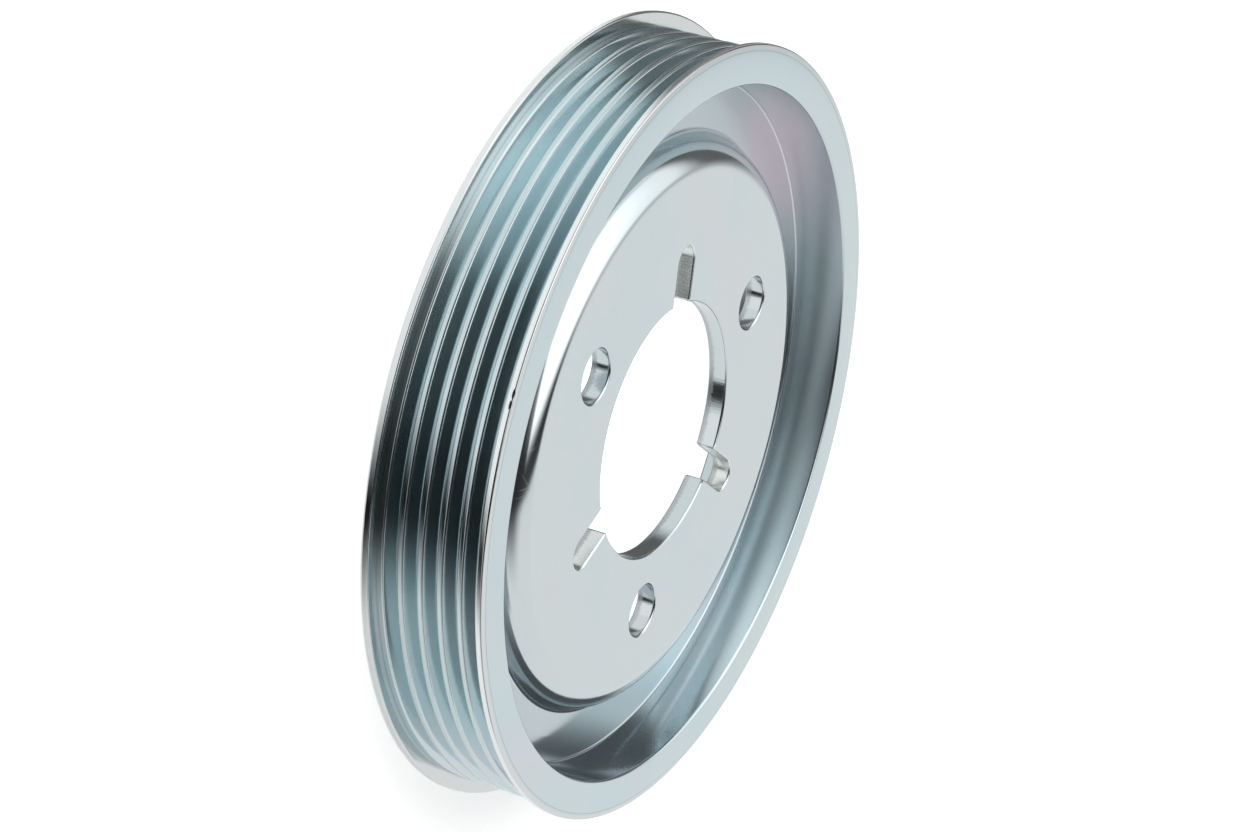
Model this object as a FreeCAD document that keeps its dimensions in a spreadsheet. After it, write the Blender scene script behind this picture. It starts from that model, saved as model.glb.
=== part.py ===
import FreeCAD, Part
import math
import os
import Sketcher

# Crankshaft pulley: one piece of rolled steel, a dished web with a rim that carries a ribbed belt.
# The frame's origin is on the axis, in the plane of the mounting face at the back of the hub.
# +Z runs along the axis to the dished front, and +X passes through a bolt hole.
os.makedirs("parts", exist_ok=True)
doc = FreeCAD.newDocument("crankshaft_pulley")

# Driving dimensions, in millimetres and degrees.
sizes = {
    # hub plate; setback and depth are measured from the bore's wall
    "bore_diameter": 44.0,
    "sheet_thickness": 3.5,
    "bolt_count": 3,
    "bolt_setback": 10.3,
    "bolt_hole_diameter": 9.2,
    "notch_count": 3,
    "notch_width": 5.5,
    "notch_depth": 10.0,
    "notch_turn": 60.0,
    "notch_mouth_radius": 0.5,
    "punched_edge_radius": 0.4,
    "burr_break": 0.2,
    # dish and the bend up to the hub; the margin runs from a bolt hole's centre to the hub's shoulder,
    # and the channel from there to the wall of the dish
    "hub_margin": 15.4,
    "channel_width": 11.0,
    "hub_recess": 4.0,
    "dish_depth": 9.2,
    "dish_draft": 3.5,
    "bend_draft": 20.0,
    "shoulder_bend_radius": 1.4,
    "foot_bend_radius": 1.0,
    "clamp_ring_width": 4.35,
    "clamp_ring_step": 0.15,
    "dish_corner_radius": 0.4,
    "rear_corner_radius": 1.6,
    "lip_radius": 1.0,
    # belt rim, from the wall of the dish to the crests between the grooves
    "rim_thickness": 6.1,
    "groove_count": 5,
    "groove_pitch": 3.56,
    "groove_opening": 2.56,
    "groove_angle": 40.0,
    "groove_root_radius": 0.4,
    "crest_corner_radius": 0.22,
    "front_land": 0.35,
    "rear_land": 1.1,
    # flanges, with heights above the crests
    "front_flange_height": 1.2,
    "front_flange_width": 1.4,
    "front_face_margin": 2.2,
    "front_face_fall": 0.22,
    "rear_flange_height": 2.5,
    "rear_flange_width": 1.35,
    "flange_edge_radius": 0.3,
}

sheet = doc.addObject("Spreadsheet::Sheet", "Sizes")
for row, (name, value) in enumerate(sizes.items(), 1):
    sheet.set(f"A{row}", name)
    sheet.set(f"B{row}", str(value))
    sheet.setAlias(f"B{row}", name)
doc.recompute()

# Heights above the mounting face, as expressions of the driving dimensions.
belt_width = (
    "(Sizes.rear_land + Sizes.groove_opening + (Sizes.groove_count - 1) * Sizes.groove_pitch"
    " + Sizes.front_land)"
)
hub_face = "Sizes.sheet_thickness"
front_face = "(Sizes.sheet_thickness + Sizes.hub_recess)"
front_outer_edge = f"({front_face} - Sizes.front_face_fall)"
front_flange_back = f"({front_face} - Sizes.front_flange_width)"
rear_flange_front = f"({front_flange_back} - {belt_width})"
rear_face = f"({rear_flange_front} - Sizes.rear_flange_width)"
first_groove = f"({rear_flange_front} + Sizes.rear_land + Sizes.groove_opening / 2)"
dish_floor = f"({front_face} - Sizes.dish_depth)"
ring_floor = f"({dish_floor} - Sizes.clamp_ring_step)"
web_back = f"({dish_floor} - Sizes.sheet_thickness)"

# Radii from the bore outwards: each ring of the part starts where the one inside it ends.
bore = "(Sizes.bore_diameter / 2)"
notch_reach = f"({bore} + Sizes.notch_depth)"
bolt_circle = f"({bore} + Sizes.bolt_setback)"
shoulder = f"({bolt_circle} + Sizes.hub_margin)"
dish_wall = f"({shoulder} + Sizes.channel_width)"
clamp_ring = f"({dish_wall} - Sizes.clamp_ring_width)"
crest = f"({dish_wall} + Sizes.rim_thickness)"
front_flange = f"({crest} + Sizes.front_flange_height)"
front_face_edge = f"({front_flange} - Sizes.front_face_margin)"
rear_flange = f"({crest} + Sizes.rear_flange_height)"

# Slopes: the sheet keeps its thickness round the bend, and both walls of the rim open outwards.
bend_slope = "tan(Sizes.bend_draft)"
sheet_shift = "(Sizes.sheet_thickness * tan(45 - Sizes.bend_draft / 2))"
foot = f"({shoulder} + ({hub_face} - {dish_floor}) * {bend_slope})"
rear_shoulder = f"({shoulder} - {sheet_shift})"
rear_foot = f"({foot} - {sheet_shift})"
dish_slope = "tan(Sizes.dish_draft)"
dish_lip = f"({dish_wall} + ({front_face} - {ring_floor}) * {dish_slope})"
rear_lip = f"({dish_wall} + ({web_back} - {rear_face}) * {dish_slope})"

# Bends: each outer radius is the inner one plus the sheet.
outer_shoulder_bend = "Sizes.shoulder_bend_radius + Sizes.sheet_thickness"
outer_foot_bend = "Sizes.foot_bend_radius + Sizes.sheet_thickness"

# Holes in the hub plate. A notch's outline starts in the open, half-way from the axis to the bore.
bolt_reach = f"({bolt_circle} + Sizes.bolt_hole_diameter)"
notch_start = f"({bore} / 2)"
notch_centre = f"({notch_reach} - Sizes.notch_width / 2)"

full_turn = 360.0
upward = FreeCAD.Vector(0, 0, 1)
match_tolerance = 0.01  # two lengths this near to each other are the same
least_cut = 1.0  # a hole that takes out less than this many cubic millimetres has missed the plate

body = doc.addObject("PartDesign::Body", "pulley_body")
body.Label = "pulley"


def origin_feature(role):
    return next(feature for feature in body.Origin.OriginFeatures if feature.Role == role)


# Number that an expression of the sheet gives, in millimetres or degrees.
def value_of(expression):
    result = sheet.evalExpression(expression)
    return float(getattr(result, "Value", result))


def near(value, expression):
    return abs(value - value_of(expression)) < match_tolerance


def add_sketch(name, plane_role):
    sketch = body.newObject("Sketcher::SketchObject", name)
    sketch.AttachmentSupport = [(origin_feature(plane_role), "")]
    sketch.MapMode = "FlatFace"
    return sketch


def add_line(sketch, start, end):
    return sketch.addGeometry(Part.LineSegment(FreeCAD.Vector(*start), FreeCAD.Vector(*end)))


# An arc runs anticlockwise between two angles, in radians.
def add_arc(sketch, centre, radius, start_angle, end_angle):
    circle = Part.Circle(FreeCAD.Vector(*centre), upward, radius)
    return sketch.addGeometry(Part.ArcOfCircle(circle, start_angle, end_angle))


def hold(sketch, kind, *places):
    sketch.addConstraint(Sketcher.Constraint(kind, *places))


# Adds a dimension to a sketch and ties it to an expression of the sheet.
def bind(sketch, kind, places, expression):
    index = sketch.addConstraint(Sketcher.Constraint(kind, *places, value_of(expression)))
    sketch.setExpression(f"Constraints[{index}]", expression)


def finish(feature):
    body.Tip = feature
    doc.recompute()
    return feature


# Rounds or breaks those edges of the body's tip for which edges_wanted is true.
def rounded(name, edges_wanted, expression, kind="PartDesign::Fillet"):
    base = body.Tip
    names = [f"Edge{i}" for i, edge in enumerate(base.Shape.Edges, 1) if edges_wanted(edge)]
    feature = body.newObject(kind, name)
    feature.Base = (base, names)
    feature.setExpression("Size" if kind.endswith("Chamfer") else "Radius", expression)
    return finish(feature)


# Test for a full circle about the axis, at a radius and a height.
def ring_at(radius, height):
    def test(edge):
        centre = edge.BoundBox.Center
        return (
            isinstance(edge.Curve, Part.Circle)
            and abs(centre.x) + abs(centre.y) < match_tolerance
            and near(edge.Curve.Radius, radius)
            and near(centre.z, height)
        )
    return test


def any_of(tests):
    return lambda edge: any(test(edge) for test in tests)


# Blank: the whole section without belt grooves, turned about the axis.
outline = [
    (bore, "0"),
    (bore, hub_face),
    (shoulder, hub_face),
    (foot, dish_floor),
    (clamp_ring, dish_floor),
    (clamp_ring, ring_floor),
    (dish_wall, ring_floor),
    (dish_lip, front_face),
    (front_face_edge, front_face),
    (front_flange, front_outer_edge),
    (front_flange, front_flange_back),
    (crest, front_flange_back),
    (crest, rear_flange_front),
    (rear_flange, rear_flange_front),
    (rear_flange, rear_face),
    (rear_lip, rear_face),
    (dish_wall, web_back),
    (rear_foot, web_back),
    (rear_shoulder, "0"),
]
section = add_sketch("section", "XZ_Plane")
corners = [(value_of(radius), value_of(height), 0) for radius, height in outline]
for start, end in zip(corners, corners[1:] + corners[:1]):
    add_line(section, start, end)
for i in range(len(outline)):
    hold(section, "Coincident", i, 2, (i + 1) % len(outline), 1)
for i, (radius, height) in enumerate(outline):
    bind(section, "DistanceX", (-1, 1, i, 1), radius)
    if height == "0":
        hold(section, "PointOnObject", i, 1, -1)
    else:
        bind(section, "DistanceY", (-1, 1, i, 1), height)
blank = body.newObject("PartDesign::Revolution", "blank")
blank.Profile = section
blank.ReferenceAxis = (section, ["V_Axis"])
blank.Angle = full_turn
finish(blank)

# Bends of the sheet, between the hub plate and the dish.
rounded("front_shoulder", ring_at(shoulder, hub_face), outer_shoulder_bend)
rounded("front_foot", ring_at(foot, dish_floor), "Sizes.foot_bend_radius")
rounded("back_shoulder", ring_at(rear_shoulder, "0"), "Sizes.shoulder_bend_radius")
rounded("back_foot", ring_at(rear_foot, web_back), outer_foot_bend)

# Corners where the web meets the rim, the lips of the rim and the edges of the flanges.
lip_rings = [
    ring_at(dish_lip, front_face),
    ring_at(rear_lip, rear_face),
]
flange_rings = [
    ring_at(front_flange, front_outer_edge),
    ring_at(front_flange, front_flange_back),
    ring_at(rear_flange, rear_flange_front),
    ring_at(rear_flange, rear_face),
]
rounded("dish_corner", ring_at(dish_wall, ring_floor), "Sizes.dish_corner_radius")
rounded("rear_corner", ring_at(dish_wall, web_back), "Sizes.rear_corner_radius")
rounded("lips", any_of(lip_rings), "Sizes.lip_radius")
rounded("flange_edges", any_of(flange_rings), "Sizes.flange_edge_radius")

# Belt grooves: a V with a round root, cut once and repeated at the belt's pitch.
middle = value_of(first_groove)
half_opening = value_of("Sizes.groove_opening / 2")
lean = math.radians(value_of("Sizes.groove_angle / 2"))
root_radius = value_of("Sizes.groove_root_radius")
crest_radius = value_of(crest)
root_centre = crest_radius - half_opening / math.tan(lean) + root_radius / math.sin(lean)
touch_radius = root_centre - root_radius * math.sin(lean)
touch_rise = root_radius * math.cos(lean)
rear_mouth = (crest_radius, middle - half_opening, 0)
front_mouth = (crest_radius, middle + half_opening, 0)
rear_touch = (touch_radius, middle - touch_rise, 0)
front_touch = (touch_radius, middle + touch_rise, 0)
groove_sketch = add_sketch("groove_section", "XZ_Plane")
rear_flank = add_line(groove_sketch, rear_mouth, rear_touch)
root_start = math.pi / 2 + lean
root_end = 3 * math.pi / 2 - lean
root = add_arc(groove_sketch, (root_centre, middle, 0), root_radius, root_start, root_end)
front_flank = add_line(groove_sketch, front_touch, front_mouth)
mouth = add_line(groove_sketch, front_mouth, rear_mouth)
hold(groove_sketch, "Tangent", rear_flank, 2, root, 2)
hold(groove_sketch, "Tangent", front_flank, 1, root, 1)
hold(groove_sketch, "Coincident", front_flank, 2, mouth, 1)
hold(groove_sketch, "Coincident", mouth, 2, rear_flank, 1)
hold(groove_sketch, "Vertical", mouth)
bind(groove_sketch, "DistanceX", (-1, 1, mouth, 1), crest)
bind(groove_sketch, "DistanceY", (mouth, 2, mouth, 1), "Sizes.groove_opening")
bind(groove_sketch, "DistanceY", (-1, 1, root, 3), first_groove)
bind(groove_sketch, "DistanceY", (-1, 1, mouth, 1), f"{first_groove} + Sizes.groove_opening / 2")
bind(groove_sketch, "Radius", (root,), "Sizes.groove_root_radius")
bind(groove_sketch, "Angle", (rear_flank, 2, front_flank, 1), "Sizes.groove_angle")
groove = body.newObject("PartDesign::Groove", "belt_groove")
groove.Profile = groove_sketch
groove.ReferenceAxis = (groove_sketch, ["V_Axis"])
groove.Angle = full_turn
finish(groove)
grooves = body.newObject("PartDesign::LinearPattern", "belt_grooves")
grooves.Originals = [groove]
grooves.Direction = (origin_feature("Z_Axis"), [""])
grooves.setExpression("Length", "(Sizes.groove_count - 1) * Sizes.groove_pitch")
grooves.setExpression("Occurrences", "Sizes.groove_count")
finish(grooves)


# Circle where a groove's flank meets the crest, but not the foot of a flange.
def on_crest(edge):
    height = edge.BoundBox.Center.z
    return (
        isinstance(edge.Curve, Part.Circle)
        and near(edge.Curve.Radius, crest)
        and not near(height, front_flange_back)
        and not near(height, rear_flange_front)
    )


rounded("crest_corners", on_crest, "Sizes.crest_corner_radius")


# Cuts a sketch on the mounting plane up through the hub plate and repeats it about the axis.
def punched(name, pattern_name, sketch, count):
    before = body.Tip.Shape.Volume
    pocket = body.newObject("PartDesign::Pocket", name)
    pocket.Profile = sketch
    pocket.Type = "ThroughAll"
    pocket.Reversed = True
    finish(pocket)
    if before - pocket.Shape.Volume < least_cut:
        raise RuntimeError(f"{name} cuts nothing")
    pattern = body.newObject("PartDesign::PolarPattern", pattern_name)
    pattern.Originals = [pocket]
    pattern.Axis = (origin_feature("Z_Axis"), [""])
    pattern.Angle = full_turn
    pattern.setExpression("Occurrences", count)
    return finish(pattern)


# Bolt holes, punched through the hub plate.
hole_sketch = add_sketch("bolt_hole_circle", "XY_Plane")
hole_place = FreeCAD.Vector(value_of(bolt_circle), 0, 0)
hole_radius = value_of("Sizes.bolt_hole_diameter / 2")
hole = hole_sketch.addGeometry(Part.Circle(hole_place, upward, hole_radius))
hold(hole_sketch, "PointOnObject", hole, 3, -1)
bind(hole_sketch, "DistanceX", (-1, 1, hole, 3), bolt_circle)
bind(hole_sketch, "Diameter", (hole,), "Sizes.bolt_hole_diameter")
punched("bolt_hole", "bolt_holes", hole_sketch, "Sizes.bolt_count")

# Notch: a slot with a round end, open to the bore, drawn along X and turned away from the bolt hole.
notch_sketch = add_sketch("notch_outline", "XY_Plane")
notch_rotation = FreeCAD.Rotation(upward, value_of("Sizes.notch_turn"))
notch_sketch.AttachmentOffset = FreeCAD.Placement(FreeCAD.Vector(0, 0, 0), notch_rotation)
notch_sketch.setExpression("AttachmentOffset.Rotation.Angle", "Sizes.notch_turn")
half_width = value_of("Sizes.notch_width / 2")
inner_x = value_of(notch_start)
end_x = value_of(notch_centre)
right_side = add_line(notch_sketch, (inner_x, -half_width, 0), (end_x, -half_width, 0))
notch_end = add_arc(notch_sketch, (end_x, 0, 0), half_width, -math.pi / 2, math.pi / 2)
left_side = add_line(notch_sketch, (end_x, half_width, 0), (inner_x, half_width, 0))
inner_side = add_line(notch_sketch, (inner_x, half_width, 0), (inner_x, -half_width, 0))
hold(notch_sketch, "Tangent", right_side, 2, notch_end, 1)
hold(notch_sketch, "Tangent", notch_end, 2, left_side, 1)
hold(notch_sketch, "Coincident", left_side, 2, inner_side, 1)
hold(notch_sketch, "Coincident", inner_side, 2, right_side, 1)
hold(notch_sketch, "Horizontal", right_side)
hold(notch_sketch, "Horizontal", left_side)
hold(notch_sketch, "Vertical", inner_side)
hold(notch_sketch, "PointOnObject", notch_end, 3, -1)
bind(notch_sketch, "DistanceX", (-1, 1, notch_end, 3), notch_centre)
bind(notch_sketch, "DistanceX", (-1, 1, inner_side, 1), notch_start)
bind(notch_sketch, "Radius", (notch_end,), "Sizes.notch_width / 2")
punched("notch", "notches", notch_sketch, "Sizes.notch_count")


# Upright edge where a side of a notch meets the bore.
def mouth_corner(edge):
    box = edge.BoundBox
    return (
        isinstance(edge.Curve, Part.Line)
        and near(box.ZLength, hub_face)
        and near(math.hypot(box.Center.x, box.Center.y), bore)
    )


# Test for an edge that lies flat at a height, inside a radius from the axis.
def flat_inside(height, radius):
    def test(edge):
        box = edge.BoundBox
        across = max(abs(box.XMin), abs(box.XMax))
        along = max(abs(box.YMin), abs(box.YMax))
        flat = near(box.ZMin, height) and near(box.ZMax, height)
        return flat and math.hypot(across, along) < value_of(radius)
    return test


rounded("notch_mouths", mouth_corner, "Sizes.notch_mouth_radius")
rounded("front_punched_edges", flat_inside(hub_face, bolt_reach), "Sizes.punched_edge_radius")
rounded("back_punched_edges", flat_inside("0", bolt_reach), "Sizes.burr_break", "PartDesign::Chamfer")

faults = [obj.Name for obj in doc.Objects if "Invalid" in obj.State or "Error" in obj.State]
if faults:
    raise RuntimeError(f"failed: {faults}")
if body.Shape.isNull() or not body.Shape.isValid() or len(body.Shape.Solids) != 1:
    raise RuntimeError("the pulley isn't one valid solid")
box = body.Shape.optimalBoundingBox(True)
print(f"pulley: {box.XLength:.2f} x {box.YLength:.2f} x {box.ZLength:.2f} mm")
print(f"height {box.ZMin:.2f} to {box.ZMax:.2f} mm, {len(body.Shape.Faces)} faces")
print(f"volume {body.Shape.Volume:.0f} mm3")
body.Shape.exportStep(f"parts/{body.Label}.step")
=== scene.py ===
import math

import bpy
from mathutils import Matrix, Vector


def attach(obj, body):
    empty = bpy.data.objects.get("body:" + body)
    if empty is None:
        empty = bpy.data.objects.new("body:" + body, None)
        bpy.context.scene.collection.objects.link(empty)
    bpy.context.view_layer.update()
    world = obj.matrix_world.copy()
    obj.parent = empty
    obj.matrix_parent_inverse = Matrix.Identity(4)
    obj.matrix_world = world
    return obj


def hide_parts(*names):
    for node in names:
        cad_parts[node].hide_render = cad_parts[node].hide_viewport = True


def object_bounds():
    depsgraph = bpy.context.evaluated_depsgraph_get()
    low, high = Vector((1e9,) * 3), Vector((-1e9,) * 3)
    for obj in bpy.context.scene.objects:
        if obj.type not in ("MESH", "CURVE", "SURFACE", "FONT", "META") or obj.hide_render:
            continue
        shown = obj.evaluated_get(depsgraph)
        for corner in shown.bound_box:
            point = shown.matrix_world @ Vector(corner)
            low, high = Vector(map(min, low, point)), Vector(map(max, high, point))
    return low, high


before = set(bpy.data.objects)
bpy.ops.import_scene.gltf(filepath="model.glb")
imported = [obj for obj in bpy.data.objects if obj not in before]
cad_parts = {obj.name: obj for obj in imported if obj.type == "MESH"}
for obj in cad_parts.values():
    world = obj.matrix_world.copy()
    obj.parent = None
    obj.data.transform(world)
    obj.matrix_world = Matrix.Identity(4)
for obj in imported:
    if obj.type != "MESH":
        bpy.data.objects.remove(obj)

# Crankshaft pulley of zinc-plated steel, lying on its rear flange with its axis upright.
# Lengths in the dictionaries are millimetres unless a name says otherwise.

cadLow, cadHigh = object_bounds()
millimetre = 0.001
print("frame loaded:", [round(v * 1000, 1) for v in cadHigh - cadLow], "mm")


# Helpers for modelling with operators.

def deselectAll():
    if bpy.context.object and bpy.context.object.mode != "OBJECT":
        bpy.ops.object.mode_set(mode="OBJECT")
    bpy.ops.object.select_all(action="DESELECT")


def makeActive(piece):
    deselectAll()
    piece.select_set(True)
    bpy.context.view_layer.objects.active = piece


def applyPlace(piece):
    makeActive(piece)
    bpy.ops.object.transform_apply(location=True, rotation=True, scale=True)


def applyModifier(piece, kind, **settings):
    makeActive(piece)
    bpy.ops.object.modifier_add(type=kind)
    modifier = piece.modifiers[-1]
    for name, value in settings.items():
        setattr(modifier, name, value)
    bpy.ops.object.modifier_apply(modifier=modifier.name)


# Opens the piece in edit mode with just those vertices, edges or faces selected that pass the test.
def editSelected(piece, mode, wanted):
    makeActive(piece)
    bpy.ops.object.mode_set(mode="EDIT")
    bpy.ops.mesh.select_mode(type=mode)
    bpy.ops.mesh.select_all(action="DESELECT")
    bpy.ops.object.mode_set(mode="OBJECT")
    mesh = piece.data
    parts = {"VERT": mesh.vertices, "EDGE": mesh.edges, "FACE": mesh.polygons}[mode]
    count = 0
    for part in parts:
        if wanted(part):
            part.select = True
            count += 1
    bpy.ops.object.mode_set(mode="EDIT")
    return count


def leaveEdit():
    bpy.ops.object.mode_set(mode="OBJECT")


# The camera stands at the photograph's viewing angle.

cameraValues = {
    "place": (0.54316, 0.08831, 0.24514),  # metres
    "right": (-0.34784, -0.33483, 0.87571),
    "up": (0.26690, -0.93077, -0.24986),
    "back": (0.89873, 0.14682, 0.41313),
    "lens": 104.61,
    "sensor": 36.0,
}

cameraData = bpy.data.cameras.new("camera")
cameraData.lens = cameraValues["lens"]
cameraData.sensor_width = cameraValues["sensor"]
cameraData.clip_start = 0.01
camera = bpy.data.objects.new("camera", cameraData)
bpy.context.scene.collection.objects.link(camera)
turn = Matrix([cameraValues["right"], cameraValues["up"], cameraValues["back"]]).transposed()
camera.matrix_world = Matrix.Translation(cameraValues["place"]) @ turn.to_4x4()
bpy.context.scene.camera = camera
print("camera placed")


# The pulley is one piece: a turned and pressed rim and web, and a punched hub plate.

pulley = {
    "turnSteps": 360,
    "holeSteps": 96,
    "smoothAngle": 32,  # degrees, the sharpest edge that is shaded smooth
    "boreDiameter": 44.0,
    "sheet": 3.5,
    "plateRadius": 44.0,  # where the flat hub plate joins the turned section
    "boltCircle": 64.6,
    "boltHole": 9.2,
    "boltCount": 3,
    "notchWidth": 5.5,
    "notchReach": 32.0,
    "notchTurn": 60.0,  # degrees from a bolt hole
    "notchMouth": 0.5,
    "punchedEdge": 0.4,
    "burrBreak": 0.2,
    "hubRecess": 4.0,
    "dishDepth": 9.2,
    "dishDiameter": 117.4,
    "dishDraft": 3.5,  # degrees
    "shoulderDiameter": 95.4,
    "bendDraft": 20.0,  # degrees
    "shoulderBend": 1.4,
    "footBend": 1.0,
    "clampRing": 108.7,
    "clampStep": 0.15,
    "dishCorner": 0.4,
    "rearCorner": 1.6,
    "frontLip": 0.5,
    "rearLip": 1.0,
    "crestDiameter": 129.6,
    "grooveCount": 5,
    "groovePitch": 3.56,
    "grooveOpening": 2.56,
    "grooveAngle": 40.0,  # degrees
    "grooveRoot": 0.4,
    "crestCorner": 0.42,
    "frontLand": 0.35,
    "rearLand": 1.1,
    "frontFlange": 132.0,
    "frontFlangeWidth": 1.4,
    "frontFace": 127.6,
    "frontFall": 0.22,
    "rearFlange": 134.6,
    "rearFlangeWidth": 1.35,
    "flangeEdge": 0.3,
}


# Corners of the turned section from the hub's front face round the rim to the hub's back:
# radius, height, rounding, segments of the rounding.
def sectionCorners(p):
    front = p["sheet"] + p["hubRecess"]
    floor = front - p["dishDepth"]
    ring = floor - p["clampStep"]
    webBack = floor - p["sheet"]
    frontBack = front - p["frontFlangeWidth"]
    grooves = p["grooveOpening"] + (p["grooveCount"] - 1) * p["groovePitch"]
    rearFront = frontBack - p["rearLand"] - grooves - p["frontLand"]
    rear = rearFront - p["rearFlangeWidth"]
    slope = math.tan(math.radians(p["dishDraft"]))
    bend = math.tan(math.radians(p["bendDraft"]))
    shift = p["sheet"] * math.tan(math.radians(45 - p["bendDraft"] / 2))
    shoulder = p["shoulderDiameter"] / 2
    foot = shoulder + (p["sheet"] - floor) * bend
    wall = p["dishDiameter"] / 2
    crest = p["crestDiameter"] / 2
    corners = [
        (p["plateRadius"], p["sheet"], 0, 0),
        (shoulder, p["sheet"], p["shoulderBend"] + p["sheet"], 14),
        (foot, floor, p["footBend"], 6),
        (p["clampRing"] / 2, floor, 0, 0),
        (p["clampRing"] / 2, ring, 0, 0),
        (wall, ring, p["dishCorner"], 5),
        (wall + (front - ring) * slope, front, p["frontLip"], 7),
        (p["frontFace"] / 2, front, 0, 0),
        (p["frontFlange"] / 2, front - p["frontFall"], p["flangeEdge"], 5),
        (p["frontFlange"] / 2, frontBack, p["flangeEdge"], 5),
        (crest, frontBack, 0, 0),
    ]
    half = p["grooveOpening"] / 2
    depth = half / math.tan(math.radians(p["grooveAngle"] / 2))
    for step in reversed(range(p["grooveCount"])):
        middle = rearFront + p["rearLand"] + half + step * p["groovePitch"]
        corners.append((crest, middle + half, p["crestCorner"], 6))
        corners.append((crest - depth, middle, p["grooveRoot"], 6))
        corners.append((crest, middle - half, p["crestCorner"], 6))
    corners += [
        (crest, rearFront, 0, 0),
        (p["rearFlange"] / 2, rearFront, p["flangeEdge"], 5),
        (p["rearFlange"] / 2, rear, p["flangeEdge"], 5),
        (wall + (webBack - rear) * slope, rear, p["rearLip"], 7),
        (wall, webBack, p["rearCorner"], 6),
        (foot - shift, webBack, p["footBend"] + p["sheet"], 10),
        (shoulder - shift, 0.0, p["shoulderBend"], 6),
        (p["plateRadius"], 0.0, 0, 0),
    ]
    return corners


# How far along each side a corner's rounding starts.
def roundingStart(before, here, after, radius):
    one = Vector((before[0] - here[0], before[1] - here[1])).normalized()
    other = Vector((after[0] - here[0], after[1] - here[1])).normalized()
    return radius / math.tan(one.angle(other) / 2)


def makeTurnedSection(p):
    corners = sectionCorners(p)
    start = Vector((corners[0][0], 0, corners[0][1])) * millimetre
    deselectAll()
    bpy.ops.mesh.primitive_plane_add(size=millimetre, location=start)
    piece = bpy.context.object
    piece.name = "pulleySteel"
    applyPlace(piece)
    bpy.ops.object.mode_set(mode="EDIT")
    bpy.ops.mesh.select_mode(type="VERT")
    bpy.ops.mesh.select_all(action="SELECT")
    bpy.ops.mesh.merge(type="CENTER")
    for here, after in zip(corners, corners[1:]):
        step = Vector((after[0] - here[0], 0, after[1] - here[1])) * millimetre
        bpy.ops.mesh.extrude_vertices_move(TRANSFORM_OT_translate={"value": step})
    leaveEdit()
    for before, here, after in zip(corners, corners[1:], corners[2:]):
        radius, height, rounding, segments = here
        if not rounding:
            continue
        place = Vector((radius, 0, height)) * millimetre
        editSelected(piece, "VERT", lambda vertex: (vertex.co - place).length < 1e-6)
        offset = roundingStart(before, here, after, rounding) * millimetre
        bpy.ops.mesh.bevel(offset=offset, segments=segments, affect="VERTICES", clamp_overlap=False)
        leaveEdit()
    makeActive(piece)
    bpy.ops.object.mode_set(mode="EDIT")
    bpy.ops.mesh.select_all(action="SELECT")
    bpy.ops.mesh.spin(steps=p["turnSteps"], angle=math.tau, center=(0, 0, 0), axis=(0, 0, 1))
    bpy.ops.mesh.select_all(action="SELECT")
    bpy.ops.mesh.remove_doubles(threshold=1e-6)
    leaveEdit()
    print("section turned:", len(piece.data.polygons), "faces")
    return piece


# A cutter for a round hole through the hub plate.
def roundCutter(radius, x, y, p):
    deselectAll()
    steps = p["turnSteps"] if x == y == 0 else p["holeSteps"]
    bpy.ops.mesh.primitive_cylinder_add(
        vertices=steps, radius=radius * millimetre, depth=3 * p["sheet"] * millimetre,
        location=(x * millimetre, y * millimetre, p["sheet"] / 2 * millimetre))
    cutter = bpy.context.object
    applyPlace(cutter)
    return cutter


# A notch's cutter starts as a round one at the notch's end, and its inner half is drawn in to the bore.
def notchCutter(degrees, p):
    middle = p["notchReach"] - p["notchWidth"] / 2
    cutter = roundCutter(p["notchWidth"] / 2, middle, 0, p)
    editSelected(cutter, "VERT", lambda vertex: vertex.co.x < (middle - 0.001) * millimetre)
    bpy.ops.transform.translate(value=(-middle / 2 * millimetre, 0, 0))
    leaveEdit()
    cutter.rotation_euler.z = math.radians(degrees)
    applyPlace(cutter)
    return cutter


def makeHubPlate(p):
    deselectAll()
    bpy.ops.mesh.primitive_cylinder_add(
        vertices=p["turnSteps"], radius=p["plateRadius"] * millimetre, depth=p["sheet"] * millimetre,
        location=(0, 0, p["sheet"] / 2 * millimetre))
    plate = bpy.context.object
    plate.name = "hubPlate"
    applyPlace(plate)
    cutters = [roundCutter(p["boreDiameter"] / 2, 0, 0, p)]
    for i in range(p["boltCount"]):
        degrees = 360 / p["boltCount"] * i
        along = math.radians(degrees)
        reach = p["boltCircle"] / 2
        cutters.append(roundCutter(p["boltHole"] / 2, reach * math.cos(along), reach * math.sin(along), p))
        cutters.append(notchCutter(degrees + p["notchTurn"], p))
    for cutter in cutters:
        applyModifier(plate, "BOOLEAN", operation="DIFFERENCE", solver="EXACT", object=cutter)
        bpy.data.objects.remove(cutter)
    roundPunchedEdges(plate, p)
    edge = (p["plateRadius"] - 0.01) * millimetre
    editSelected(plate, "FACE", lambda face: abs(face.normal.z) < 0.5 and face.center.xy.length > edge)
    bpy.ops.mesh.delete(type="FACE")
    leaveEdit()
    return plate


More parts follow.
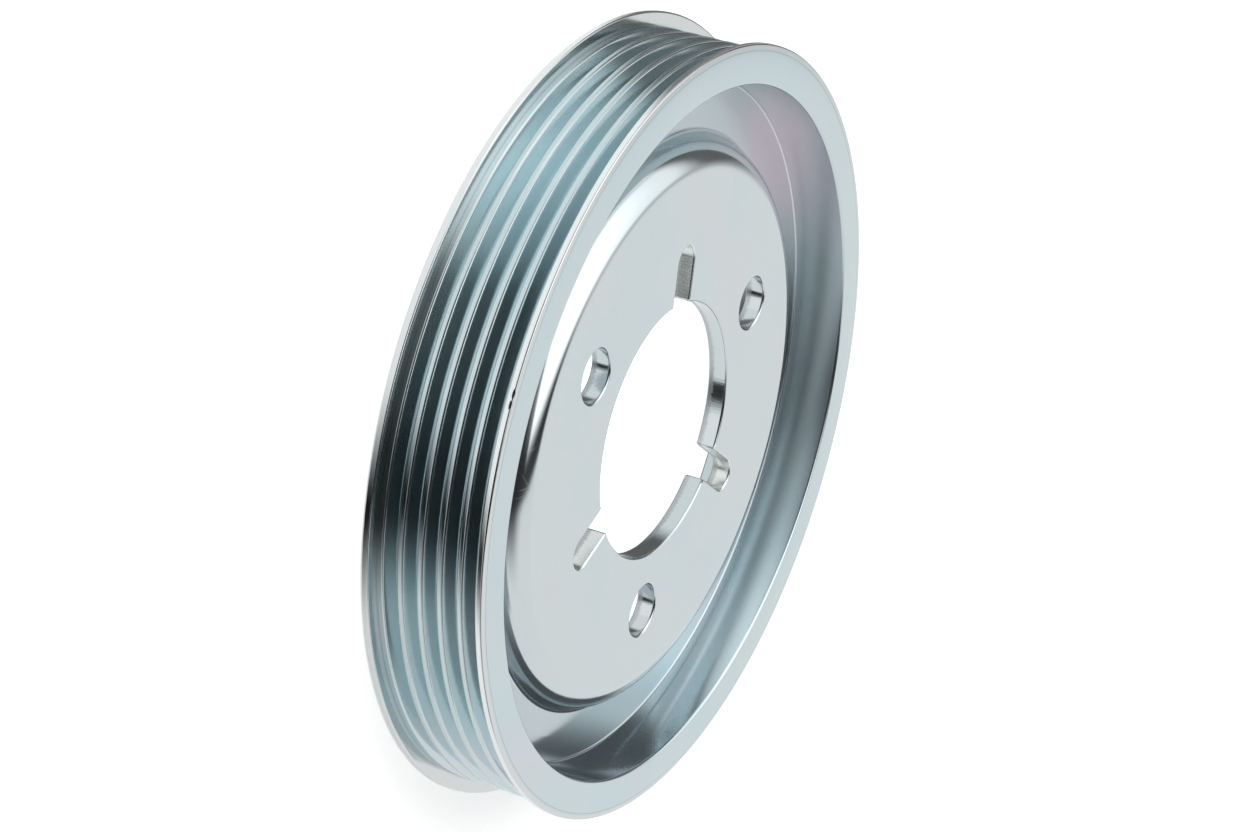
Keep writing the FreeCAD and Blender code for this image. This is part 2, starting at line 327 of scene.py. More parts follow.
# Rounds the notches' mouths, then the front edge of every hole, and breaks their back edges.
def roundPunchedEdges(plate, p):
    mesh = plate.data
    bore = p["boreDiameter"] / 2
    top = p["sheet"] * millimetre
    half = p["notchWidth"] / 2
    mouthRadius = math.sqrt(bore ** 2 - half ** 2)

    def isMouth(edge):
        one, other = (mesh.vertices[i].co for i in edge.vertices)
        if (one - other).xy.length > 1e-6 or abs(one.xy.length - bore * millimetre) > 2e-5:
            return False
        angle = math.degrees(math.atan2(one.y, one.x)) - p["notchTurn"]
        across = abs((angle + 60) % 120 - 60)
        return abs(across - math.degrees(math.atan2(half, mouthRadius))) < 0.05

    found = editSelected(plate, "EDGE", isMouth)
    bpy.ops.mesh.bevel(offset=p["notchMouth"] * millimetre, segments=5, affect="EDGES", clamp_overlap=False)
    leaveEdit()
    print("notch mouths rounded:", found)

    def rim(height):
        def isRim(edge):
            ends = [mesh.vertices[i].co for i in edge.vertices]
            flat = all(abs(end.z - height) < 1e-7 for end in ends)
            return flat and (edge.vertices[0], edge.vertices[1]) in wallEdges and ends[0].xy.length < 0.04
        return isRim

    for height, size, segments in ((top, p["punchedEdge"], 4), (0.0, p["burrBreak"], 1)):
        wallEdges = set()
        for face in mesh.polygons:
            if abs(face.normal.z) < 0.5:
                for key in face.edge_keys:
                    wallEdges.add(key)
                    wallEdges.add((key[1], key[0]))
        found = editSelected(plate, "EDGE", rim(height))
        bpy.ops.mesh.bevel(offset=size * millimetre, segments=segments, affect="EDGES", clamp_overlap=False)
        leaveEdit()
        print("punched edges at", round(height * 1000, 2), "mm:", found)


steel = makeTurnedSection(pulley)
plate = makeHubPlate(pulley)
deselectAll()
plate.select_set(True)
steel.select_set(True)
bpy.context.view_layer.objects.active = steel
bpy.ops.object.join()
bpy.ops.object.mode_set(mode="EDIT")
bpy.ops.mesh.select_all(action="SELECT")
bpy.ops.mesh.remove_doubles(threshold=2e-6)
bpy.ops.mesh.normals_make_consistent(inside=False)
leaveEdit()
steel.name = "pulleySteel"
print("pulley joined:", len(steel.data.polygons), "faces")
makeActive(steel)
bpy.ops.object.shade_smooth_by_angle(angle=math.radians(pulley["smoothAngle"]))
applyModifier(steel, "WEIGHTED_NORMAL", keep_sharp=True)
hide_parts("pulley")
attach(steel, "root")
print("pulley placed")


# Its finish is blue-white zinc plating.

plating = {
    "plain": (0.655, 0.715, 0.73),
    "cool": (0.58, 0.70, 0.74),
    "blush": (0.74, 0.68, 0.73),
    "rim": (0.73, 0.74, 0.735),
    "cloudSize": 22.0,
    "toneAmount": 0.35,
    "speckSize": 0.35,
    "scratchLength": 5.0,
    "blushPlace": (-18.0, -55.0, 1.0),  # mm, the middle of a blush patch on the dish wall
    "blushReach": (27.0, 6.0),
    "blushAmount": 0.75,
    "nicks": ((64.98, 11.57, 7.1), (64.65, 13.27, 7.05)),  # mm, on the front flange's edge
    "nickSize": (0.75, 0.2),  # half its length and half its width
    "paintedRootShade": (62.4, 61.4, 0.35),  # mm from the axis where the painted shade in the grooves' roots begins and is darkest
    "paintedCrestShade": (64.72, 64.78, 0.17),  # and where the painted shade on the flat crests between them begins and is full
    "crestLimit": 64.95,
    "beltMiddle": -3.0,  # mm, the height of the grooves' middle over the mounting face
    "beltHalf": 9.0,  # and how far from there they reach
    "rimTone": (65.1, 65.4, 0.8),  # and where the flanges' rims lose their tint
    "polishPlace": (-31.0, 50.0, 4.0),  # mm, where the drawn wall is brightest
    "polishReach": (24.0, 60.0),
    "dulling": 0.15,  # how much rougher it is away from there
    "lineRun": 2.5,  # how much a turned line changes on its way round
    "tornHeight": (1.9, 1.3),  # mm over the mounting face, where a sheared wall starts to be torn and is so
    "tornWander": 1.2,
    "speckShade": 0.2,
    "tornShade": 0.18,
    "nickShade": 0.93,
    "bandRoughness": 0.06,
    "scratchRoughness": 0.15,
    "tornRoughness": 0.22,
    "speckDepth": 0.002,  # mm, like the other depths
    "scratchDepth": 0.001,
    "nickDepth": 0.03,
}
finishes = {
    "pressedZinc": {"roughness": 0.11, "anisotropy": 0.2, "lineSpacing": 0.5, "lineDepth": 0.0006,
                    "bandDepth": 0.0010, "marks": 0.5, "tint": (1.0, 1.0, 1.0)},
    "turnedZinc": {"roughness": 0.13, "anisotropy": 0.3, "lineSpacing": 0.3, "lineDepth": 0.0012,
                   "bandDepth": 0.0016, "marks": 0.35, "tint": (0.95, 1.0, 1.01)},
    "punchedZinc": {"roughness": 0.10, "anisotropy": 0.0, "lineSpacing": 0.28, "lineDepth": 0.009,
                    "bandDepth": 0.004, "marks": 0.3, "tint": (1.0, 1.0, 1.0)},
    # The notch walls are punched zinc with a rougher finish and a tint of more than one, which is painted
    # light that brightens them.
    "notchedZinc": {"roughness": 0.27, "anisotropy": 0.0, "lineSpacing": 0.28, "lineDepth": 0.014,
                    "bandDepth": 0.006, "marks": 0.3, "tint": (1.25, 1.2, 1.15)},
    "drawnZinc": {"roughness": 0.11, "anisotropy": 0.0, "lineSpacing": 0.4, "lineDepth": 0.0001,
                  "bandDepth": 0.0003, "marks": 0.0, "tint": (0.84, 0.87, 0.89)},
}
borders = {
    "plate": 40.0,  # mm from the axis, inside which a face belongs to the hub plate
    "drawn": 50.0,  # and from which the drawn wall begins
    "turned": 60.2,  # and the turned rim
    "front": 7.2,  # mm over the mounting face, past which a face was turned too
    "rear": -13.2,
    "mouth": 0.3,  # mm past the bore's wall, where a notch's wall begins
    "flat": 0.97,  # the upright share of a flat face's normal
}


def addNode(tree, kind, **settings):
    node = tree.nodes.new(kind)
    for name, value in settings.items():
        setattr(node, name, value)
    return node


# Links a socket to an input, or sets the input to a plain value.
def feed(tree, target, value):
    if isinstance(value, bpy.types.NodeSocket):
        tree.links.new(value, target)
    else:
        target.default_value = value


def calc(tree, operation, *values):
    node = addNode(tree, "ShaderNodeMath", operation=operation)
    for target, value in zip(node.inputs, values):
        feed(tree, target, value)
    return node.outputs[0]


def remap(tree, value, low, high, newLow=0.0, newHigh=1.0):
    node = addNode(tree, "ShaderNodeMapRange", interpolation_type="SMOOTHSTEP")
    for target, setting in zip(node.inputs, (value, low, high, newLow, newHigh)):
        feed(tree, target, setting)
    return node.outputs[0]


def blendColours(tree, amount, first, second):
    node = addNode(tree, "ShaderNodeMix", data_type="RGBA")
    feed(tree, node.inputs[0], amount)
    feed(tree, node.inputs[6], first)
    feed(tree, node.inputs[7], second)
    return node.outputs[2]


def mixValues(tree, amount, first, second):
    node = addNode(tree, "ShaderNodeMix", data_type="FLOAT")
    for target, value in zip(node.inputs[:1] + node.inputs[2:4], (amount, first, second)):
        feed(tree, target, value)
    return node.outputs[0]


def combine(tree, x, y, z):
    node = addNode(tree, "ShaderNodeCombineXYZ")
    for target, value in zip(node.inputs, (x, y, z)):
        feed(tree, target, value)
    return node.outputs[0]


def noise(tree, vector, scale, detail=2.0, roughness=0.5):
    node = addNode(tree, "ShaderNodeTexNoise", noise_dimensions="3D")
    feed(tree, node.inputs["Vector"], vector)
    feed(tree, node.inputs["Scale"], scale)
    node.inputs["Detail"].default_value = detail
    node.inputs["Roughness"].default_value = roughness
    return node.outputs[0]


def newGroup(name, inputs, outputs):
    group = bpy.data.node_groups.new(name, "ShaderNodeTree")
    for label, kind, value in inputs:
        socket = group.interface.new_socket(name=label, in_out="INPUT", socket_type=kind)
        socket.default_value = value
    for label, kind in outputs:
        group.interface.new_socket(name=label, in_out="OUTPUT", socket_type=kind)
    return group, addNode(group, "NodeGroupInput"), addNode(group, "NodeGroupOutput")


# Place on the pulley in millimetres, as a vector, as x, y and z, and as the distance from the axis.
def placeOnPulley(tree):
    coordinates = addNode(tree, "ShaderNodeTexCoord")
    scaled = addNode(tree, "ShaderNodeVectorMath", operation="SCALE")
    tree.links.new(coordinates.outputs["Object"], scaled.inputs[0])
    scaled.inputs["Scale"].default_value = 1000.0
    parts = addNode(tree, "ShaderNodeSeparateXYZ")
    tree.links.new(scaled.outputs[0], parts.inputs[0])
    x, y, z = parts.outputs
    squares = calc(tree, "ADD", calc(tree, "MULTIPLY", x, x), calc(tree, "MULTIPLY", y, y))
    return scaled.outputs[0], x, y, z, calc(tree, "SQRT", squares)


# Lines left by turning and rolling: they run round the axis, a spacing apart, and fade along their length.
def buildTurningLines():
    tree, start, end = newGroup(
        "turningLines",
        [("Spacing", "NodeSocketFloat", 0.3), ("Run", "NodeSocketFloat", 2.5)],
        [("Fine", "NodeSocketFloat"), ("Bands", "NodeSocketFloat")])
    x, y, z, radius = placeOnPulley(tree)[1:]
    across = calc(tree, "SUBTRACT", radius, calc(tree, "MULTIPLY", z, 0.7))
    alongX = calc(tree, "MULTIPLY", calc(tree, "DIVIDE", x, radius), start.outputs["Run"])
    alongY = calc(tree, "MULTIPLY", calc(tree, "DIVIDE", y, radius), start.outputs["Run"])
    fineAcross = calc(tree, "DIVIDE", across, start.outputs["Spacing"])
    bandAcross = calc(tree, "DIVIDE", fineAcross, 7.0)
    fine = noise(tree, combine(tree, fineAcross, alongX, alongY), 1.0, 2.0, 0.6)
    bands = noise(tree, combine(tree, bandAcross, alongX, alongY), 1.0, 1.0, 0.5)
    tree.links.new(fine, end.inputs["Fine"])
    tree.links.new(bands, end.inputs["Bands"])
    return tree


# The plating's tint drifts between blue and a faint blush from place to place.
def buildPlatingTone():
    tree, start, end = newGroup(
        "platingTone",
        [("Plain", "NodeSocketColor", (0.6, 0.6, 0.6, 1)), ("Cool", "NodeSocketColor", (0.5, 0.6, 0.6, 1)),
         ("Blush", "NodeSocketColor", (0.6, 0.5, 0.6, 1)), ("Cloud size", "NodeSocketFloat", 20.0),
         ("Amount", "NodeSocketFloat", 0.3)],
        [("Color", "NodeSocketColor")])
    place = placeOnPulley(tree)[0]
    frequency = calc(tree, "DIVIDE", 1.0, start.outputs["Cloud size"])
    moved = addNode(tree, "ShaderNodeVectorMath", operation="ADD")
    tree.links.new(place, moved.inputs[0])
    moved.inputs[1].default_value = (170.0, 40.0, -90.0)
    coolMask = remap(tree, noise(tree, place, frequency, 3.0), 0.42, 0.66)
    blushMask = remap(tree, noise(tree, moved.outputs[0], frequency, 3.0), 0.54, 0.76)
    cooled = blendColours(tree, calc(tree, "MULTIPLY", coolMask, start.outputs["Amount"]),
                          start.outputs["Plain"], start.outputs["Cool"])
    blushed = blendColours(tree, calc(tree, "MULTIPLY", blushMask, start.outputs["Amount"]),
                           cooled, start.outputs["Blush"])
    tree.links.new(blushed, end.inputs["Color"])
    return tree


# Fine specks in the plating and faint scratches from handling.
def buildHandlingMarks():
    tree, start, end = newGroup(
        "handlingMarks",
        [("Speck size", "NodeSocketFloat", 0.4), ("Scratch length", "NodeSocketFloat", 5.0)],
        [("Specks", "NodeSocketFloat"), ("Scratches", "NodeSocketFloat")])
    place = placeOnPulley(tree)[0]
    specks = noise(tree, place, calc(tree, "DIVIDE", 1.0, start.outputs["Speck size"]), 1.0)
    lengthwise = calc(tree, "DIVIDE", 1.0, start.outputs["Scratch length"])
    scratches = None
    for turn in (0.5, 2.1):
        mapping = addNode(tree, "ShaderNodeMapping")
        mapping.inputs["Rotation"].default_value = (0.2, 0.3, turn)
        tree.links.new(place, mapping.inputs["Vector"])
        parts = addNode(tree, "ShaderNodeSeparateXYZ")
        tree.links.new(mapping.outputs[0], parts.inputs[0])
        stretched = combine(tree, calc(tree, "MULTIPLY", parts.outputs[0], 5.0),
                            calc(tree, "MULTIPLY", parts.outputs[1], lengthwise),
                            calc(tree, "MULTIPLY", parts.outputs[2], lengthwise))
        found = remap(tree, noise(tree, stretched, 1.0, 1.0), 0.70, 0.76)
        scratches = found if scratches is None else calc(tree, "MAXIMUM", scratches, found)
    tree.links.new(remap(tree, specks, 0.66, 0.78), end.inputs["Specks"])
    tree.links.new(scratches, end.inputs["Scratches"])
    return tree


turningLines = buildTurningLines()
platingTone = buildPlatingTone()
handlingMarks = buildHandlingMarks()


def addGroup(tree, group, **values):
    node = addNode(tree, "ShaderNodeGroup", node_tree=group)
    for name, value in values.items():
        label = name[0].upper() + "".join(" " + c.lower() if c.isupper() else c for c in name[1:])
        feed(tree, node.inputs[label], value)
    return node


# Sheared walls are streaked along the axis, smooth near the front and torn near the back:
# streaks, how torn the wall is, and the grain.
def shearMarks(tree, spacing):
    place, x, y, z = placeOnPulley(tree)[:4]
    stretched = combine(tree, calc(tree, "DIVIDE", x, spacing), calc(tree, "DIVIDE", y, spacing),
                        calc(tree, "MULTIPLY", z, 0.35))
    streaks = noise(tree, stretched, 1.0, 3.0, 0.6)
    wander = calc(tree, "MULTIPLY", streaks, plating["tornWander"])
    torn = remap(tree, calc(tree, "ADD", z, wander), *plating["tornHeight"])
    grain = noise(tree, place, 3.2, 3.0, 0.65)
    return streaks, torn, grain


def distanceFrom(tree, middle):
    node = addNode(tree, "ShaderNodeVectorMath", operation="DISTANCE")
    tree.links.new(placeOnPulley(tree)[0], node.inputs[0])
    node.inputs[1].default_value = middle
    return node.outputs["Value"]


# Small dark nicks along the front flange's edge, each a stretched spot.
def nickMask(tree):
    half, narrow = plating["nickSize"]
    found = 0.0
    for middle in plating["nicks"]:
        turn = math.atan2(middle[1], middle[0])
        mapping = addNode(tree, "ShaderNodeMapping", vector_type="TEXTURE")
        mapping.inputs["Location"].default_value = middle
        mapping.inputs["Rotation"].default_value = (0, 0, turn)
        mapping.inputs["Scale"].default_value = (narrow, half, narrow)
        tree.links.new(placeOnPulley(tree)[0], mapping.inputs["Vector"])
        length = addNode(tree, "ShaderNodeVectorMath", operation="LENGTH")
        tree.links.new(mapping.outputs[0], length.inputs[0])
        found = calc(tree, "MAXIMUM", found, remap(tree, length.outputs["Value"], 1.15, 0.8))
    return found


# Takes a share of the shade away where a mask is full.
def darken(tree, shade, mask, amount):
    return calc(tree, "MULTIPLY", shade, calc(tree, "SUBTRACT", 1.0, calc(tree, "MULTIPLY", mask, amount)))


def makeZinc(name, values):
    material = bpy.data.materials.new(name)
    material.use_nodes = True
    tree = material.node_tree
    shader = tree.nodes["Principled BSDF"]
    blush = (*plating["blush"], 1)
    tone = addGroup(tree, platingTone, plain=(*plating["plain"], 1), cool=(*plating["cool"], 1), blush=blush,
                    cloudSize=plating["cloudSize"], amount=plating["toneAmount"])
    marks = addGroup(tree, handlingMarks, speckSize=plating["speckSize"],
                     scratchLength=plating["scratchLength"])
    lines = addGroup(tree, turningLines, spacing=values["lineSpacing"], run=plating["lineRun"])
    fine, bands = lines.outputs["Fine"], lines.outputs["Bands"]
    torn = 0.0
    sheared = name in ("punchedZinc", "notchedZinc")
    if sheared:
        fine, torn, bands = shearMarks(tree, values["lineSpacing"])
    specks = calc(tree, "MULTIPLY", marks.outputs["Specks"], values["marks"])
    scratches = calc(tree, "MULTIPLY", marks.outputs["Scratches"], values["marks"])
    shade = darken(tree, 1.0, specks, plating["speckShade"])
    if sheared:
        shade = darken(tree, shade, torn, plating["tornShade"])
    if name == "turnedZinc":
        # Painted shade: the grooves' roots and the flat crests between them are darkened in colour.
        height, reach = placeOnPulley(tree)[3:]
        rootFrom, rootTo, rootAmount = plating["paintedRootShade"]
        crestFrom, crestTo, crestAmount = plating["paintedCrestShade"]
        inside = calc(tree, "LESS_THAN", reach, plating["crestLimit"])
        onCrest = calc(tree, "MULTIPLY", remap(tree, reach, crestFrom, crestTo), inside)
        fromMiddle = calc(tree, "ABSOLUTE", calc(tree, "SUBTRACT", height, plating["beltMiddle"]))
        inRoot = calc(tree, "MULTIPLY", remap(tree, reach, rootFrom, rootTo), rootAmount)
        inRoot = calc(tree, "MULTIPLY", inRoot, calc(tree, "LESS_THAN", fromMiddle, plating["beltHalf"]))
        paintedShade = calc(tree, "ADD", inRoot, calc(tree, "MULTIPLY", onCrest, crestAmount))
        shade = darken(tree, shade, paintedShade, 1.0)
    tinted = addNode(tree, "ShaderNodeVectorMath", operation="MULTIPLY")
    tree.links.new(tone.outputs["Color"], tinted.inputs[0])
    tinted.inputs[1].default_value = values["tint"]
    colour = tinted.outputs[0]
    dents = 0.0
    if name == "turnedZinc":
        rimFrom, rimTo, rimAmount = plating["rimTone"]
        onRim = calc(tree, "MULTIPLY", remap(tree, reach, rimFrom, rimTo), rimAmount)
        colour = blendColours(tree, onRim, colour, (*plating["rim"], 1))
        dents = nickMask(tree)
        shade = darken(tree, shade, dents, plating["nickShade"])
    if name == "drawnZinc":
        patch = remap(tree, distanceFrom(tree, plating["blushPlace"]), *plating["blushReach"])
        patch = calc(tree, "MULTIPLY", patch, plating["blushAmount"])
        colour = blendColours(tree, patch, colour, blush)
    toned = addNode(tree, "ShaderNodeVectorMath", operation="SCALE")
    tree.links.new(colour, toned.inputs[0])
    tree.links.new(shade, toned.inputs["Scale"])
    tree.links.new(toned.outputs[0], shader.inputs["Base Color"])
    roughness = values["roughness"] - plating["bandRoughness"] / 2
    roughness = calc(tree, "ADD", roughness, calc(tree, "MULTIPLY", bands, plating["bandRoughness"]))
    roughness = calc(tree, "ADD", roughness, calc(tree, "MULTIPLY", scratches, plating["scratchRoughness"]))
    roughness = calc(tree, "ADD", roughness, calc(tree, "MULTIPLY", torn, plating["tornRoughness"]))
    if name == "drawnZinc":
        dull = remap(tree, distanceFrom(tree, plating["polishPlace"]), *plating["polishReach"])
        roughness = calc(tree, "ADD", roughness, calc(tree, "MULTIPLY", dull, plating["dulling"]))
    tree.links.new(roughness, shader.inputs["Roughness"])
    height = calc(tree, "MULTIPLY", fine, values["lineDepth"])
    height = calc(tree, "ADD", height, calc(tree, "MULTIPLY", bands, values["bandDepth"]))
    height = calc(tree, "SUBTRACT", height, calc(tree, "MULTIPLY", specks, plating["speckDepth"]))
    height = calc(tree, "SUBTRACT", height, calc(tree, "MULTIPLY", scratches, plating["scratchDepth"]))
    height = calc(tree, "SUBTRACT", height, calc(tree, "MULTIPLY", dents, plating["nickDepth"]))
    bump = addNode(tree, "ShaderNodeBump")
    bump.inputs["Distance"].default_value = millimetre
    tree.links.new(height, bump.inputs["Height"])
    tree.links.new(bump.outputs[0], shader.inputs["Normal"])
    shader.inputs["Metallic"].default_value = 1.0
    shader.inputs["Anisotropic"].default_value = values["anisotropy"]
    if values["anisotropy"]:
        tangent = addNode(tree, "ShaderNodeTangent", direction_type="RADIAL", axis="Z")
        tree.links.new(tangent.outputs[0], shader.inputs["Tangent"])
    return material


steel.data.materials.clear()
for name, values in finishes.items():
    steel.data.materials.append(makeZinc(name, values))


# Which finish a face has, by its place in millimetres from the axis and over the mounting face.
def finishOf(face):
    reach, height = face.center.xy.length / millimetre, face.center.z / millimetre
    if reach < borders["plate"]:
        if abs(face.normal.z) > borders["flat"]:
            return "pressedZinc"
        turn = math.degrees(math.atan2(face.center.y, face.center.x)) - pulley["notchTurn"]
        across = math.radians((turn + 60) % 120 - 60) * reach
        pastBore = reach > pulley["boreDiameter"] / 2 + borders["mouth"]
        return "notchedZinc" if pastBore and abs(across) < pulley["notchWidth"] else "punchedZinc"
    if reach > borders["turned"] or height > borders["front"] or height < borders["rear"]:
        return "turnedZinc"
    return "drawnZinc" if reach > borders["drawn"] else "pressedZinc"


order = list(finishes)
for face in steel.data.polygons:
    face.material_index = order.index(finishOf(face))
print("finishes made:", len(steel.data.materials))


# The studio is a white table in a room that is dark just over the table's edge, with a softbox above.
# Its own upright differs from the pulley's: the metal mirrors a room in which the pulley stands on its rim.

studio = {
    "floorColour": (0.86, 0.87, 0.87),
    "floorRadius": 3.0,  # metres
    "floorLift": 0.45,  # glow of the floor to the camera
    "mirroredLift": 0.3,  # and to the metal that mirrors it
    "underLift": 0.85,  # painted light: glow of the patch under the pulley to the camera, which washes out the pulley's shadow there
    "underRadius": 63.0,  # mm
    "roomLight": 0.55,  # light that the room gives to matt surfaces
    "up": (0.5968, -0.7994, -0.0686),
    "front": (0.7230, 0.4988, 0.4779),
    "side": (-0.3478, -0.3348, 0.8757),
    "tableLevel": 0.9,
    "tableEdge": (-20.0, -50.0),  # degrees of height, where the table's white begins and is full
    "tableSideEdge": (-22.5, -26.0),
    "frontWall": (0.0, 40.0, 0.03, 0.22),  # from and to that height, and its light there
    "sideWall": (-10.0, 3.0, 0.04, 1.0),
    "sideMiddle": 8.0,  # degrees round from the front that the front wall is centred on
    "sideTurn": (22.0, 57.0),  # and how far from there the side walls take over
    "footTurn": (92.0, 106.0),
    "backTurn": (115.0, 126.0),
    "softboxFade": (88.0, 112.0, 1.0, 0.72),
    "backLevel": 0.14,
    "backTop": (40.0, 60.0),
    "backFoot": (-3.0, -22.0),
    "softboxEdge": (32.0, 50.0, 46.0, -12.0),  # from and to that turn, and the height of its lower edge there
    "softboxBlur": (-5.0, 7.0),
    "softboxLevel": (18.0, 50.0, 0.9, 1.6),
    "lampPlace": (0.392, -0.492, 0.777),  # metres
    "lampSize": (1.35, 1.35),
    "lampPower": 8.5,
    "clothColour": (0.02, 0.02, 0.02),
    "stripSteps": 36,
    "flagLift": 0.2,  # mm over the floor
    "flagReach": (67.5, 190.0),  # mm from the axis
    "frontFlagSweep": (0.0, 130.0),  # degrees round the axis that the flag itself takes up
    "frontFlagSpan": (11.0, 50.0),  # and that it covers, with the widths of its soft edges
    "frontFlagEdges": (19.0, 19.0),
    "frontFlagCover": 1.0,
    "frontFlagDrift": (77.0, 0.45),  # past that many mm from the axis it turns, in degrees per mm
    "rearFlagSweep": (-165.0, -40.0),
    "rearFlagSpan": (-200.0, -50.0),
    "rearFlagEdges": (30.0, 16.0),
    "rearFlagCover": 0.8,
    "cardSpan": (-100.0, 82.0),  # and the same for the card that stands round the front
    "cardEdges": (90.0, 10.0),
    "cardRadius": 85.0,
    "cardFoot": (-2.0, 17.0),  # mm over the mounting face, where it begins and is full
    "cardTop": (32.0, 25.0),
    "cardCover": 0.64,
}


def floorMaterial(name, cameraLift, mirroredLift):
    material = bpy.data.materials.new(name)
    material.use_nodes = True
    tree = material.node_tree
    tree.nodes.remove(tree.nodes["Principled BSDF"])
    matt = addNode(tree, "ShaderNodeBsdfDiffuse")
    matt.inputs["Color"].default_value = (*studio["floorColour"], 1)
    glow = addNode(tree, "ShaderNodeEmission")
    rays = addNode(tree, "ShaderNodeLightPath")
    mirrored = calc(tree, "MAXIMUM", rays.outputs["Is Glossy Ray"], rays.outputs["Is Transmission Ray"])
    lift = calc(tree, "MULTIPLY", mirrored, mirroredLift)
    lift = mixValues(tree, rays.outputs["Is Camera Ray"], lift, cameraLift)
    tree.links.new(lift, glow.inputs["Strength"])
    both = addNode(tree, "ShaderNodeAddShader")
    tree.links.new(matt.outputs[0], both.inputs[0])
    tree.links.new(glow.outputs[0], both.inputs[1])
    tree.links.new(both.outputs[0], tree.nodes["Material Output"].inputs["Surface"])
    return material


# The floor has a round patch under the pulley that the metal doesn't mirror,
# so that the walls of the bore and the holes mirror the room.
# To the camera the patch glows with painted light, which washes out the pulley's shadow under it.
def makeFloor():
    deselectAll()
    inner = studio["underRadius"] * millimetre
    bpy.ops.mesh.primitive_circle_add(vertices=96, radius=studio["floorRadius"], location=(0, 0, cadLow.z))
    floor = bpy.context.object
    floor.name = "floor"
    applyPlace(floor)
    bpy.ops.object.mode_set(mode="EDIT")
    bpy.ops.mesh.select_all(action="SELECT")
    bpy.ops.mesh.extrude_edges_move()
    bpy.ops.transform.resize(value=(inner / studio["floorRadius"],) * 3)
    leaveEdit()
    floor.data.materials.append(floorMaterial("paleFloor", studio["floorLift"], studio["mirroredLift"]))
    deselectAll()
    bpy.ops.mesh.primitive_circle_add(vertices=96, radius=inner, fill_type="NGON", location=(0, 0, cadLow.z))
    patch = bpy.context.object
    patch.name = "floorPatch"
    applyPlace(patch)
    # Painted light: the patch glows to the camera over the pulley's shadow.
    patch.data.materials.append(floorMaterial("paintedLightPatch", studio["underLift"], 0.0))
    patch.visible_glossy = False


# A straight ramp that stops at both ends.
def ramp(tree, value, ends):
    node = addNode(tree, "ShaderNodeMapRange")
    for target, setting in zip(node.inputs, (value, *ends)):
        feed(tree, target, setting)
    return node.outputs[0]


def makeRoom():
    world = bpy.data.worlds.new("room")
    bpy.context.scene.world = world
    world.use_nodes = True
    tree = world.node_tree
    coordinates = addNode(tree, "ShaderNodeTexCoord")

    def along(direction):
        node = addNode(tree, "ShaderNodeVectorMath", operation="DOT_PRODUCT")
        tree.links.new(coordinates.outputs["Generated"], node.inputs[0])
        node.inputs[1].default_value = studio[direction]
        return node.outputs["Value"]

    height = calc(tree, "DEGREES", calc(tree, "ARCSINE", along("up")))
    turn = calc(tree, "DEGREES", calc(tree, "ARCTAN2", along("side"), along("front")))
    swing = calc(tree, "ABSOLUTE", turn)
    aside = calc(tree, "ABSOLUTE", calc(tree, "SUBTRACT", turn, studio["sideMiddle"]))
    sides = remap(tree, aside, *studio["sideTurn"])
    frontWall, sideWall = (ramp(tree, height, studio[wall]) for wall in ("frontWall", "sideWall"))
    level = mixValues(tree, sides, frontWall, sideWall)
    overEdge = calc(tree, "SUBTRACT", height, ramp(tree, turn, studio["softboxEdge"]))
    softbox = remap(tree, overEdge, *studio["softboxBlur"])
    glow, fade = (ramp(tree, turn, studio[share]) for share in ("softboxLevel", "softboxFade"))
    level = mixValues(tree, softbox, level, calc(tree, "MULTIPLY", glow, fade))
    back = remap(tree, swing, *studio["backTurn"])
    behind = calc(tree, "MULTIPLY", back, remap(tree, height, *studio["backTop"], 1.0, 0.0))
    level = mixValues(tree, behind, level, studio["backLevel"])
    footSides = remap(tree, swing, *studio["footTurn"])
    foot = calc(tree, "MULTIPLY", footSides, remap(tree, height, *studio["backFoot"]))
    edges = (remap(tree, height, *studio[edge]) for edge in ("tableEdge", "tableSideEdge"))
    table = calc(tree, "MAXIMUM", foot, mixValues(tree, sides, *edges))
    level = mixValues(tree, table, level, studio["tableLevel"])
    rays = addNode(tree, "ShaderNodeLightPath")
    mirrored = calc(tree, "MAXIMUM", rays.outputs["Is Glossy Ray"], rays.outputs["Is Transmission Ray"])
    plain = mixValues(tree, rays.outputs["Is Camera Ray"], studio["roomLight"], 1.0)
    tree.links.new(mixValues(tree, mirrored, plain, level), tree.nodes["Background"].inputs["Strength"])
    tree.nodes["Background"].inputs["Color"].default_value = (1, 1, 1, 1)


def makeSoftbox():
    lamp = bpy.data.lights.new("softbox", "AREA")
    lamp.shape = "RECTANGLE"
    lamp.size, lamp.size_y = studio["lampSize"]
    lamp.energy = studio["lampPower"]
    holder = bpy.data.objects.new("softbox", lamp)
    bpy.context.scene.collection.objects.link(holder)
    holder.location = studio["lampPlace"]
    holder.rotation_euler = (-Vector(studio["lampPlace"])).to_track_quat("-Z", "Y").to_euler()
    holder.visible_glossy = False  # the room's own softbox is what the metal mirrors


# A strip drawn from one point to another and swept round the axis. Only the metal sees it.
def sweepStrip(name, begin, across, span):
    deselectAll()
    bpy.ops.mesh.primitive_plane_add(size=millimetre, location=begin)
    strip = bpy.context.object
    strip.name = name
    applyPlace(strip)
    bpy.ops.object.mode_set(mode="EDIT")
    bpy.ops.mesh.select_mode(type="VERT")
    bpy.ops.mesh.select_all(action="SELECT")
    bpy.ops.mesh.merge(type="CENTER")
    bpy.ops.mesh.extrude_vertices_move(TRANSFORM_OT_translate={"value": across})
    bpy.ops.mesh.select_all(action="SELECT")
    start, stop = (math.radians(value) for value in span)
    bpy.ops.mesh.spin(steps=studio["stripSteps"], angle=start - stop, center=(0, 0, 0), axis=(0, 0, 1))
    leaveEdit()
    strip.rotation_euler.z = start
    applyPlace(strip)
    strip.visible_camera = False
    strip.visible_diffuse = False
    strip.visible_shadow = False
    strip.visible_transmission = False
    return strip


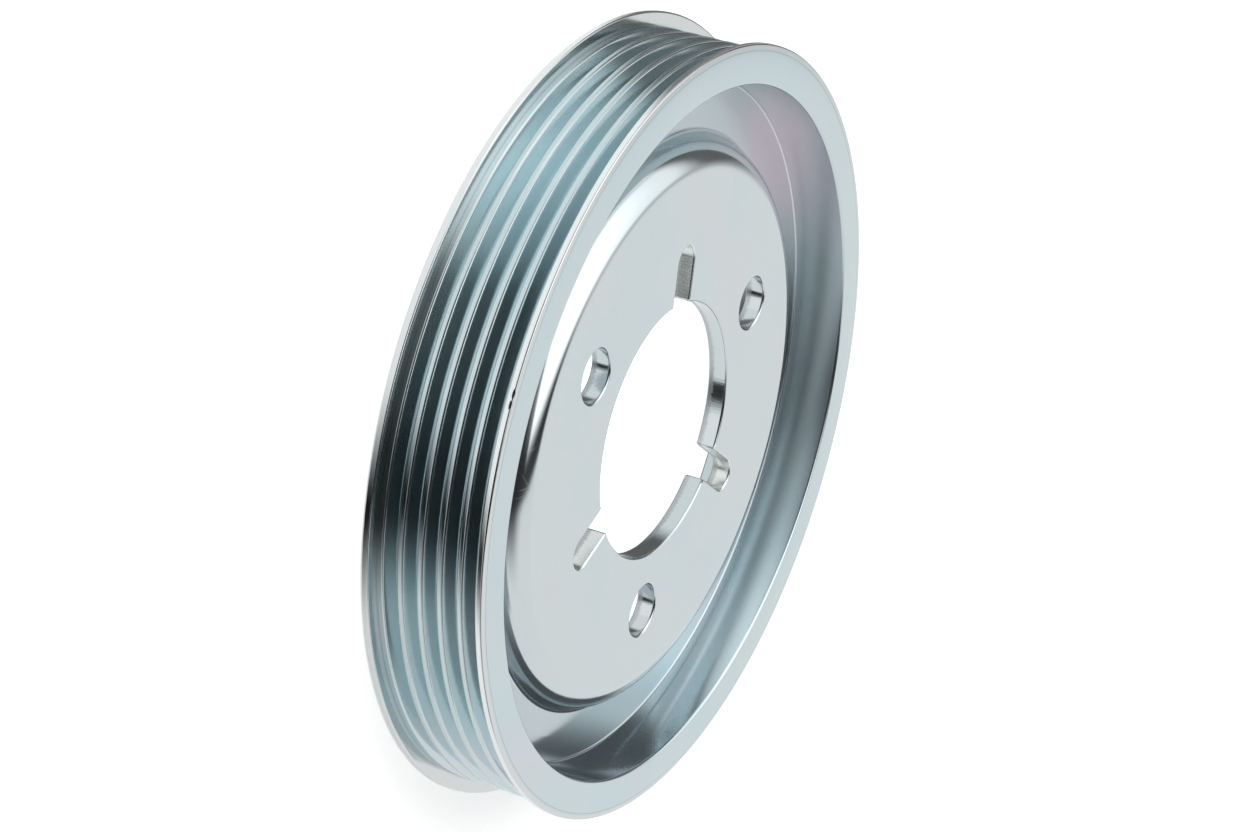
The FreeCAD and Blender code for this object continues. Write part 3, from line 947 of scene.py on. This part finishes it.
# Black cloth, a mask of the span that it covers with soft ends, and the height over the mounting face.
def clothMaterial(name, span, edges, drift=None):
    material = bpy.data.materials.new(name)
    material.use_nodes = True
    tree = material.node_tree
    shader = tree.nodes["Principled BSDF"]
    shader.inputs["Base Color"].default_value = (*studio["clothColour"], 1)
    shader.inputs["Roughness"].default_value = 1.0
    shader.inputs["Specular IOR Level"].default_value = 0.0
    x, y, z, radius = placeOnPulley(tree)[1:]
    around = calc(tree, "DEGREES", calc(tree, "ARCTAN2", y, x))
    if drift:
        past = calc(tree, "MAXIMUM", calc(tree, "SUBTRACT", radius, drift[0]), 0.0)
        around = calc(tree, "SUBTRACT", around, calc(tree, "MULTIPLY", past, drift[1]))
    cover = calc(tree, "MULTIPLY", remap(tree, around, span[0], span[0] + edges[0]),
                 remap(tree, around, span[1], span[1] - edges[1]))
    return material, cover, z


# Black flags lie just over the floor on both sides of the rim. The crests between the grooves mirror them.
def makeFlag(kind, drift=None):
    inner, outer = (value * millimetre for value in studio["flagReach"])
    begin = (inner, 0, cadLow.z + studio["flagLift"] * millimetre)
    flag = sweepStrip(kind, begin, (outer - inner, 0, 0), studio[kind + "Sweep"])
    material, cover = clothMaterial(kind + "Cloth", studio[kind + "Span"], studio[kind + "Edges"], drift)[:2]
    tree = material.node_tree
    cover = calc(tree, "MULTIPLY", cover, studio[kind + "Cover"])
    tree.links.new(cover, tree.nodes["Principled BSDF"].inputs["Alpha"])
    flag.data.materials.append(material)


# A black card stands round the front with a soft foot:
# the front grooves mirror more of it than the rear ones.
def makeCard():
    radius = studio["cardRadius"] * millimetre
    foot, top = studio["cardFoot"][0] * millimetre, studio["cardTop"][0] * millimetre
    card = sweepStrip("blackCard", (radius, 0, foot), (0, 0, top - foot), studio["cardSpan"])
    material, cover, z = clothMaterial("cardCloth", studio["cardSpan"], studio["cardEdges"])
    tree = material.node_tree
    cover = calc(tree, "MULTIPLY", cover, remap(tree, z, *studio["cardFoot"], 0.0, studio["cardCover"]))
    cover = calc(tree, "MULTIPLY", cover, remap(tree, z, *studio["cardTop"]))
    tree.links.new(cover, tree.nodes["Principled BSDF"].inputs["Alpha"])
    card.data.materials.append(material)


makeFloor()
makeRoom()
makeSoftbox()
makeFlag("frontFlag", studio["frontFlagDrift"])
makeFlag("rearFlag")
makeCard()
bpy.context.scene.view_settings.view_transform = "Standard"
print("studio ready")
